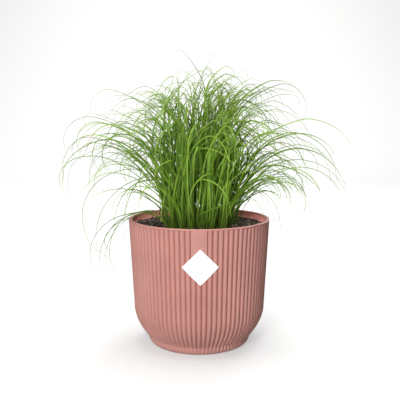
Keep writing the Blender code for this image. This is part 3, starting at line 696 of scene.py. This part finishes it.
# Painted light: blades on the outside and at the front of the clump, where the light falls, are painted
# fresher
OUTSIDE_PAINTED_LIGHT, OUTSIDE_RADIUS = 0.25, 130 * MM  # the gain in tone, and where it is reached
FRONT_PAINTED_LIGHT, FRONT_REACH = 0.20, 90 * MM
TAPER_POWER, TAPER_GAIN, TAPER_FROM = 1.7, 5.0, 0.6
TAPER_BLUNTNESS = 0.95
TWIST_START, TWIST_GAIN = 0.5, 0.9  # spread in radians, at the foot and over the length
FOLD_START, FOLD_END = (0.6, 1.0), (0.15, 0.5)  # depth of the V against half the width
FOLD_OPENING = 3  # the V has opened over the first of this many parts of the length
WITHERED_SHARE = 0.10  # of the blades have a dry tip
WITHERED_FROM, WITHERED_FADE = (0.90, 0.97), 0.05
SWAY_WAVES, SWAY_PHASES = (0.7, 1.6), (0, 6)
STRIP_SIDES = ((0, 0), (1, 0), (2, 1), (3, 1))  # each side of the strip and its look: 0 above, 1 below
SEED_STEP = 1000  # keeps the draws of one shoot apart from those of the next
WELD_STEPS = 1e6  # points of a solid within a thousandth of a millimetre count as one
THIN_TIP_Z = 165 * MM  # a blade that hangs below the rim is one of the thin ones
THIN_WIDTH = 0.75
# Finer blades keep out of this box, so that the arches at the front stand alone
CLEARING = ((-25 * MM, 30 * MM), (-200 * MM, -50 * MM), (170 * MM, 240 * MM))
CROWN_RADIUS = 60 * MM  # every shoot leaves the soil within this distance of the axis


def solid_lines(node, ground_z):
    """The middle lines of a shoot's solid: one for each pointed blade, from its fork to its tip."""
    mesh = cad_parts[node].data
    numbers = {}
    spots = []
    index = []
    for vertex in mesh.vertices:
        key = tuple(round(c * WELD_STEPS) for c in vertex.co)
        if key not in numbers:
            numbers[key] = len(spots)
            spots.append(vertex.co.copy())
        index.append(numbers[key])
    beside = [set() for _ in spots]
    for edge in mesh.edges:
        a, b = (index[end] for end in edge.vertices)
        if a != b:
            beside[a].add(b)
            beside[b].add(a)
    feet = {
        i for i, spot in enumerate(spots)
        if abs(spot.z - ground_z) < MM and spot.xy.length < CROWN_RADIUS
    }
    root = sum((spots[i] for i in feet), Vector()) / len(feet)
    lines = []
    for tip, around in enumerate(beside):
        if len(around) != 3 or tip in feet:
            continue
        seen = {tip} | around
        level = around
        line = [spots[tip]]
        while len(level) == 3 and not level & feet:
            line.append(sum((spots[i] for i in level), Vector()) / 3)
            level = set().union(*(beside[i] for i in level)) - seen
            seen |= level
        if len(line) > 2:
            lines.append(line[::-1])
    return root, sorted(lines, key=lambda line: tuple(line[-1]))


def smooth_line(anchors):
    """Points along a centripetal curve through the anchors."""
    first = anchors[0] * 2 - anchors[1]
    last = anchors[-1] * 2 - anchors[-2]
    guides = [first, *anchors, last]
    line = []
    for p0, p1, p2, p3 in zip(guides, guides[1:], guides[2:], guides[3:]):
        times = [0.0]
        for a, b in ((p0, p1), (p1, p2), (p2, p3)):
            times.append(times[-1] + max((b - a).length, 1e-6) ** 0.5)
        t0, t1, t2, t3 = times
        for step in range(STEPS_PER_SPAN):
            t = t1 + (t2 - t1) * step / STEPS_PER_SPAN
            a1 = p0.lerp(p1, (t - t0) / (t1 - t0))
            a2 = p1.lerp(p2, (t - t1) / (t2 - t1))
            a3 = p2.lerp(p3, (t - t2) / (t3 - t2))
            b1 = a1.lerp(a2, (t - t0) / (t2 - t0))
            b2 = a2.lerp(a3, (t - t1) / (t3 - t1))
            line.append(b1.lerp(b2, (t - t1) / (t2 - t1)))
    line.append(anchors[-1])
    return line


def tone_with_painted_light(line, rng):
    """0 for a deep old green up to 1 for a fresh one, drawn at random. It is raised at the front and the
    outside as painted light, where the light falls on the clump.
    """
    spot = line[len(line) * 2 // 3]
    outer = min(spot.xy.length / OUTSIDE_RADIUS, 1.0)
    front = min(max(-spot.y / FRONT_REACH, 0.0), 1.0)
    middle = TONE_MIDDLE + OUTSIDE_PAINTED_LIGHT * outer + FRONT_PAINTED_LIGHT * front
    return min(max(rng.gauss(middle, TONE_SPREAD), 0.0), 1.0)


def length_of(line):
    return sum((b - a).length for a, b in zip(line, line[1:]))


def highest_of(line):
    return max(range(len(line)), key=lambda i: line[i].z)


def level_way(first, second):
    """The level part of the way from one point to another."""
    return Vector((second.x - first.x, second.y - first.y, 0))


def taper_power(line):
    """How late a blade runs out: the shorter the part beyond its highest point, the later."""
    before = length_of(line[: highest_of(line) + 1])
    return TAPER_POWER + TAPER_GAIN * max(0.0, before / length_of(line) - TAPER_FROM)


class Leaves:
    """The points, faces and values of one shoot's blades as they are added."""

    def __init__(self, settings):
        self.settings = settings
        self.points = []
        self.faces = []
        self.face_looks = []
        self.values = {key: [] for key in LEAF_VALUES}

    def put(self, point, *values):
        self.points.append(tuple(point))
        for key, value in zip(LEAF_VALUES, values):
            self.values[key].append(value)
        return len(self.points) - 1

    def add_face(self, corners, look):
        self.faces.append(corners)
        self.face_looks.append(look)

    def add_blade(self, line, width, rng):
        """A thin strip, folded to a V along its middle rib, twisting slowly and running out to a hair."""
        # This tone is raised as painted light at the front and the outside of the clump
        tone = tone_with_painted_light(line, rng)
        power = taper_power(line)
        withered = rng.uniform(*WITHERED_FROM) if rng.random() < WITHERED_SHARE else None
        twist_start, twist_gain = rng.gauss(0, TWIST_START), rng.gauss(0, TWIST_GAIN)
        fold_start, fold_end = rng.uniform(*FOLD_START), rng.uniform(*FOLD_END)
        total = length_of(line)
        flat = level_way(line[0], line[-1])
        outward = flat.normalized() if flat.length > MM else Vector((1, 0, 0))
        side = Vector((0, 0, 1)).cross(outward)
        gone = 0.0
        previous = None
        for i, point in enumerate(line[:-1]):
            ahead = line[i + 1] - point
            behind = point - line[i - 1] if i else ahead
            tangent = (ahead.normalized() + behind.normalized()).normalized()
            side = (side - tangent * side.dot(tangent)).normalized()
            share = gone / total
            gone += ahead.length
            angle = twist_start + twist_gain * share
            normal = tangent.cross(side)
            across = side * math.cos(angle) + normal * math.sin(angle)
            upper = tangent.cross(across)
            full = BASE_WIDTH + (1 - BASE_WIDTH) * smoothstep(0.0, FULL_WIDTH_FROM, share)
            half = max(width * full * (1 - share**power) ** TAPER_BLUNTNESS, TIP_WIDTH) / 2
            fold = (fold_start + (fold_end - fold_start) * min(share * FOLD_OPENING, 1.0)) * half
            thick = min(self.settings.thickness, half)
            dry = smoothstep(withered - WITHERED_FADE, withered, share) if withered else 0.0
            current = [
                self.put(point - across * half + upper * fold, share, -1.0, tone, dry),
                self.put(point, share, 0.0, tone, dry),
                self.put(point + across * half + upper * fold, share, 1.0, tone, dry),
                self.put(point - upper * thick, share, 0.0, tone, dry),
            ]
            if previous is None:
                self.add_face(current[::-1], 0)
            else:
                for k, look in STRIP_SIDES:
                    m = (k + 1) % 4
                    self.add_face((previous[k], previous[m], current[m], current[k]), look)
            previous = current
        end = self.put(line[-1], 1.0, 0.0, tone, 1.0 if withered else 0.0)
        for k, look in STRIP_SIDES:
            self.add_face((previous[k], previous[(k + 1) % 4], end), look)

    def add_sheath(self, root, fork, rng):
        """The short tube at the soil that holds the blades together, in the painted shade of a blade's foot.
        """
        tone = rng.random()
        rings = []
        foot = root - Vector((0, 0, BASE_DEPTH))
        for share in SHEATH_RINGS:
            centre = foot.lerp(fork, share * SHEATH_SHARE)
            radius = SHEATH_RADII[0] + (SHEATH_RADII[1] - SHEATH_RADII[0]) * share
            ring = []
            for k in range(SHEATH_SIDES):
                angle = 2 * math.pi * k / SHEATH_SIDES
                out = Vector((math.cos(angle), math.sin(angle), 0)) * radius
                across = 2 * k / SHEATH_SIDES - 1
                ring.append(self.put(centre + out, SHEATH_ALONG * share, across, tone, 0.0))
            rings.append(ring)
        self.add_face(rings[0][::-1], 0)
        self.add_face(rings[-1], 0)
        for face in wrap(rings):
            self.add_face(face, 0)


def stays_clear(line, soil, pot):
    """True where a finer blade keeps inside the solids' box and clear of the wall and the soil."""
    low, high = cad_box
    inner = pot.rim_radius - LIP_PROUD - pot.wall - WALL_ROOM
    outer = pot.rim_radius + WALL_ROOM
    for point in line[STEPS_PER_SPAN:]:
        away = math.hypot(point.x, point.y)
        if any(not low[k] + BOX_ROOM < point[k] < high[k] - BOX_ROOM for k in range(3)):
            return False
        if inner < away < outer and point.z < pot.height + WALL_ROOM:
            return False
        if away <= inner and point.z < soil.top + soil.lump:
            return False
        if all(near < c < far for c, (near, far) in zip(point, CLEARING)):
            return False
    return True


def companion_line(line, root, rng):
    """A neighbour of a blade: turned about the shoot, more so at the front, and straighter below."""
    front = min(max(-root.y / TURN_FRONT, 0.0), 1.0)
    turn = rng.gauss(0, TURN_SPREAD + TURN_GAIN * front)
    reach = rng.uniform(*COMPANION_REACH)
    rise = rng.uniform(*COMPANION_RISE)
    cos, sin = math.cos(turn), math.sin(turn)
    beside = Vector((rng.uniform(-1, 1), rng.uniform(-1, 1), 0)) * COMPANION_GAP
    moved = []
    for point in line:
        offset = point - root
        x, y = offset.x * cos - offset.y * sin, offset.x * sin + offset.y * cos
        moved.append(root + beside + Vector((x * reach, y * reach, offset.z * rise)))
    highest = highest_of(moved)
    foot, top = moved[0], moved[highest]
    lean = rng.uniform(*LEAN_RANGE)
    for i in range(1, highest):
        share = (moved[i].z - foot.z) / (top.z - foot.z)
        moved[i] = moved[i].lerp(foot.lerp(top, share), lean * (1 - share**3))
    return moved


def sway(line, rng, amount):
    """Bend the outer part of a line gently from side to side."""
    swayed = []
    phase_x, phase_y = rng.uniform(*SWAY_PHASES), rng.uniform(*SWAY_PHASES)
    waves = rng.uniform(*SWAY_WAVES)
    for i, point in enumerate(line):
        share = i / (len(line) - 1)
        swing = amount * math.sin(math.pi * share) * share
        turn = 2 * math.pi * waves * share
        shift = Vector((math.sin(turn + phase_x), math.sin(turn + phase_y), 0))
        swayed.append(point + shift * swing)
    return swayed


def curl_tip(line, rng):
    """Hook the end of a line down and round."""
    start = int(len(line) * CURL_FROM)
    axis = Vector((0, 0, 1)).cross(level_way(line[0], line[-1]).normalized())
    turn = rng.uniform(*CURL_TURN)
    curled = line[: start + 1]
    for i in range(start, len(line) - 1):
        share = (i + 1 - start) / (len(line) - 1 - start)
        curled.append(curled[-1] + Matrix.Rotation(turn * share, 3, axis) @ (line[i + 1] - line[i]))
    return curled


def shoot_curves(root, lines):
    """The fork of a shoot, and the smooth line of each of its blades from below the soil to the tip."""
    fork = sum((line[0] for line in lines), Vector()) / len(lines)
    foot = root - Vector((0, 0, BASE_DEPTH))
    curves = []
    for line in lines:
        out = level_way(fork, line[0])
        if len(lines) > 1:
            out.normalize()
        anchors = [foot + out * BASE_SPREAD, line[0] + out * FORK_SPREAD, *line[1:]]
        curves.append(smooth_line(anchors))
    return fork, curves


def grow_shoot(node, rng, settings, soil, pot):
    """The sheath, the blades along a shoot's solid, and the finer ones beside them."""
    root, lines = solid_lines(node, soil.top)
    if not lines:
        raise RuntimeError(f"no blade found on the solid {node}")
    leaves = Leaves(settings)
    fork, curves = shoot_curves(root, lines)
    leaves.add_sheath(root, fork, rng)
    for curve in curves:
        width = settings.width * rng.uniform(*BLADE_WIDTHS)
        if curve[-1].z < THIN_TIP_Z:
            width *= THIN_WIDTH
        if max(point.z for point in curve) > SLIM_TOP_Z:
            width *= SLIM_WIDTH
        leaves.add_blade(sway(curve, rng, WANDER), width, rng)
    furthest = max((curve[-1] for curve in curves), key=lambda point: point.xy.length)
    crowd = smoothstep(*OUTER_REACH, furthest.xy.length)
    if furthest.x > 0:
        crowd *= COMPANY_RIGHT
    for _ in range(round(settings.companions * crowd)):
        for _ in range(COMPANION_TRIES):
            line = sway(companion_line(rng.choice(curves), root, rng), rng, 2 * WANDER)
            if rng.random() < CURLED_SHARE:
                line = curl_tip(line, rng)
            if stays_clear(line, soil, pot):
                leaves.add_blade(line, settings.width * rng.uniform(*COMPANION_WIDTHS), rng)
                break
    return leaves


class SEDGE_OT_make_leaves(bpy.types.Operator):
    """Build every shoot's leaf blades over the solid of that shoot"""

    bl_idname = "sedge.make_leaves"
    bl_label = "Make leaves"

    def execute(self, context):
        scene = context.scene
        settings = scene.sedge_leaves
        looks = [
            leaf_material(settings, "sedge_leaf_grown_upper", False),
            leaf_material(settings, "sedge_leaf_grown_under", True),
        ]
        for node in sorted(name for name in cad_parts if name.startswith("shoot_")):
            number = int(node.split("_")[1])
            rng = random.Random(settings.seed * SEED_STEP + number)
            leaves = grow_shoot(node, rng, settings, scene.sedge_soil, scene.sedge_pot)
            new_piece(
                f"leaves_{number:02d}", leaves.points, leaves.faces, looks, "sedge_leaf", [node],
                leaves.values, leaves.face_looks,
            )
        return {"FINISHED"}


# Stage

LENS, SENSOR = 58.14, 36.0
CAMERA_PLACE = (0.00114, -0.8374, 0.2991)
CAMERA_DIP = math.radians(7.562)
CLIP_START = 0.01
FLOOR_HALF, FLOOR_BACK = 4.0, 2.0
SWEEP_RADIUS, SWEEP_STEPS = 1.0, 16
BACKDROP_TOP = 6.0
CARD_X = 0.62  # a black card at the right keeps that side of the pot deep in tone
CARD_CORNERS = ((-0.7, -0.3), (0.6, -0.3), (0.6, 0.45), (-0.7, 0.45))
MIDDLE = (0, 0, 0.18)
# Where each light stands, what it is turned to and how wide it is
LIGHTS = {
    "key": ((-0.40, -1.65, 1.15), MIDDLE, 0.7),
    "side": ((-1.6, -0.1, 0.8), MIDDLE, 1.2),
    "low": ((-0.25, -1.0, 0.03), (0, 0, 0.05), 0.7),
    "top": ((0.0, -0.1, 3.0), MIDDLE, 1.6),
    "rear": ((0.7, 1.3, 0.8), MIDDLE, 0.9),
    "back": ((0.0, 1.1, 2.2), (0.0, 2.6, 0.2), 2.0),
}


def stage_mesh(name, points, faces, look):
    mesh = bpy.data.meshes.new(name)
    mesh.from_pydata(points, [], faces)
    mesh.materials.append(look)
    made = bpy.data.objects.new(name, mesh)
    bpy.context.scene.collection.objects.link(made)
    return made


def add_floor(settings):
    """A level floor that sweeps up into the backdrop."""
    rows = [(-FLOOR_HALF, 0.0)]
    for step in range(SWEEP_STEPS + 1):
        angle = math.pi / 2 * step / SWEEP_STEPS
        rows.append((FLOOR_BACK + SWEEP_RADIUS * math.sin(angle), SWEEP_RADIUS * (1 - math.cos(angle))))
    rows.append((FLOOR_BACK + SWEEP_RADIUS, BACKDROP_TOP))
    points = [(x, y, z) for y, z in rows for x in (-FLOOR_HALF, FLOOR_HALF)]
    faces = [(i, i + 1, i + 3, i + 2) for i in range(0, 2 * len(rows) - 2, 2)]
    floor = stage_mesh("studio_floor", points, faces, floor_material(settings))
    floor.data.shade_smooth()
    # The floor sends no light back, which keeps the foot of the pot and the undersides deep in tone
    floor.visible_diffuse = False
    floor.visible_glossy = False


def add_card():
    look, _, _ = new_material("card_black_matt", 0.9, Base_Color=linear("#101010"))
    card = stage_mesh("black_card", [(CARD_X, y, z) for y, z in CARD_CORNERS], [(0, 1, 2, 3)], look)
    card.visible_camera = False


def add_light(name, place, target, size, power):
    data = bpy.data.lights.new(name, "AREA")
    data.shape = "DISK"
    data.size = size
    data.energy = power
    light = bpy.data.objects.new(name, data)
    light.location = place
    light.rotation_euler = (Vector(target) - Vector(place)).to_track_quat("-Z", "Y").to_euler()
    light.visible_camera = False
    bpy.context.scene.collection.objects.link(light)


def add_surround(scene, strength):
    """An even white light from all round."""
    world = bpy.data.worlds.new("studio")
    world.use_nodes = True
    surround = world.node_tree.nodes["Background"]
    surround.inputs["Color"].default_value = (1.0, 1.0, 1.0, 1.0)
    surround.inputs["Strength"].default_value = strength
    scene.world = world


def add_camera(scene):
    camera = bpy.data.cameras.new("camera")
    camera.lens, camera.sensor_width = LENS, SENSOR
    camera.clip_start = CLIP_START
    holder = bpy.data.objects.new("camera", camera)
    holder.location = CAMERA_PLACE
    holder.rotation_euler = (math.pi / 2 - CAMERA_DIP, 0, 0)
    scene.collection.objects.link(holder)
    scene.camera = holder


class SEDGE_OT_make_stage(bpy.types.Operator):
    """Set up the pale floor and backdrop, the black card, the soft studio lights and the camera"""

    bl_idname = "sedge.make_stage"
    bl_label = "Make stage"

    def execute(self, context):
        scene = context.scene
        settings = scene.sedge_stage
        add_floor(settings)
        add_card()
        for name, (place, target, size) in LIGHTS.items():
            add_light(name, place, target, size, getattr(settings, f"{name}_power"))
        add_surround(scene, settings.surround)
        scene.view_settings.view_transform = "Standard"
        add_camera(scene)
        return {"FINISHED"}


STEPS = (
    ("sedge_stage", StageSettings, SEDGE_OT_make_stage),
    ("sedge_pot", PotSettings, SEDGE_OT_make_pot),
    ("sedge_sticker", StickerSettings, SEDGE_OT_make_sticker),
    ("sedge_soil", SoilSettings, SEDGE_OT_make_soil),
    ("sedge_leaves", LeafSettings, SEDGE_OT_make_leaves),
)


class SEDGE_PT_panel(bpy.types.Panel):
    bl_label = "Potted sedge"
    bl_idname = "SEDGE_PT_panel"
    bl_space_type = "VIEW_3D"
    bl_region_type = "UI"
    bl_category = "Sedge"

    def draw(self, context):
        for name, _, operator in STEPS:
            box = self.layout.box()
            settings = getattr(context.scene, name)
            for key in type(settings).__annotations__:
                box.prop(settings, key)
            box.operator(operator.bl_idname)


def register():
    for name, group, operator in STEPS:
        bpy.utils.register_class(group)
        bpy.utils.register_class(operator)
        setattr(bpy.types.Scene, name, PointerProperty(type=group))
    bpy.utils.register_class(SEDGE_PT_panel)


def unregister():
    bpy.utils.unregister_class(SEDGE_PT_panel)
    for name, group, operator in reversed(STEPS):
        delattr(bpy.types.Scene, name)
        bpy.utils.unregister_class(operator)
        bpy.utils.unregister_class(group)


def main():
    register()
    bpy.ops.sedge.make_stage()
    bpy.ops.sedge.make_pot()
    bpy.ops.sedge.make_sticker()
    bpy.ops.sedge.make_soil()
    bpy.ops.sedge.make_leaves()


if __name__ == "__main__":
    main()
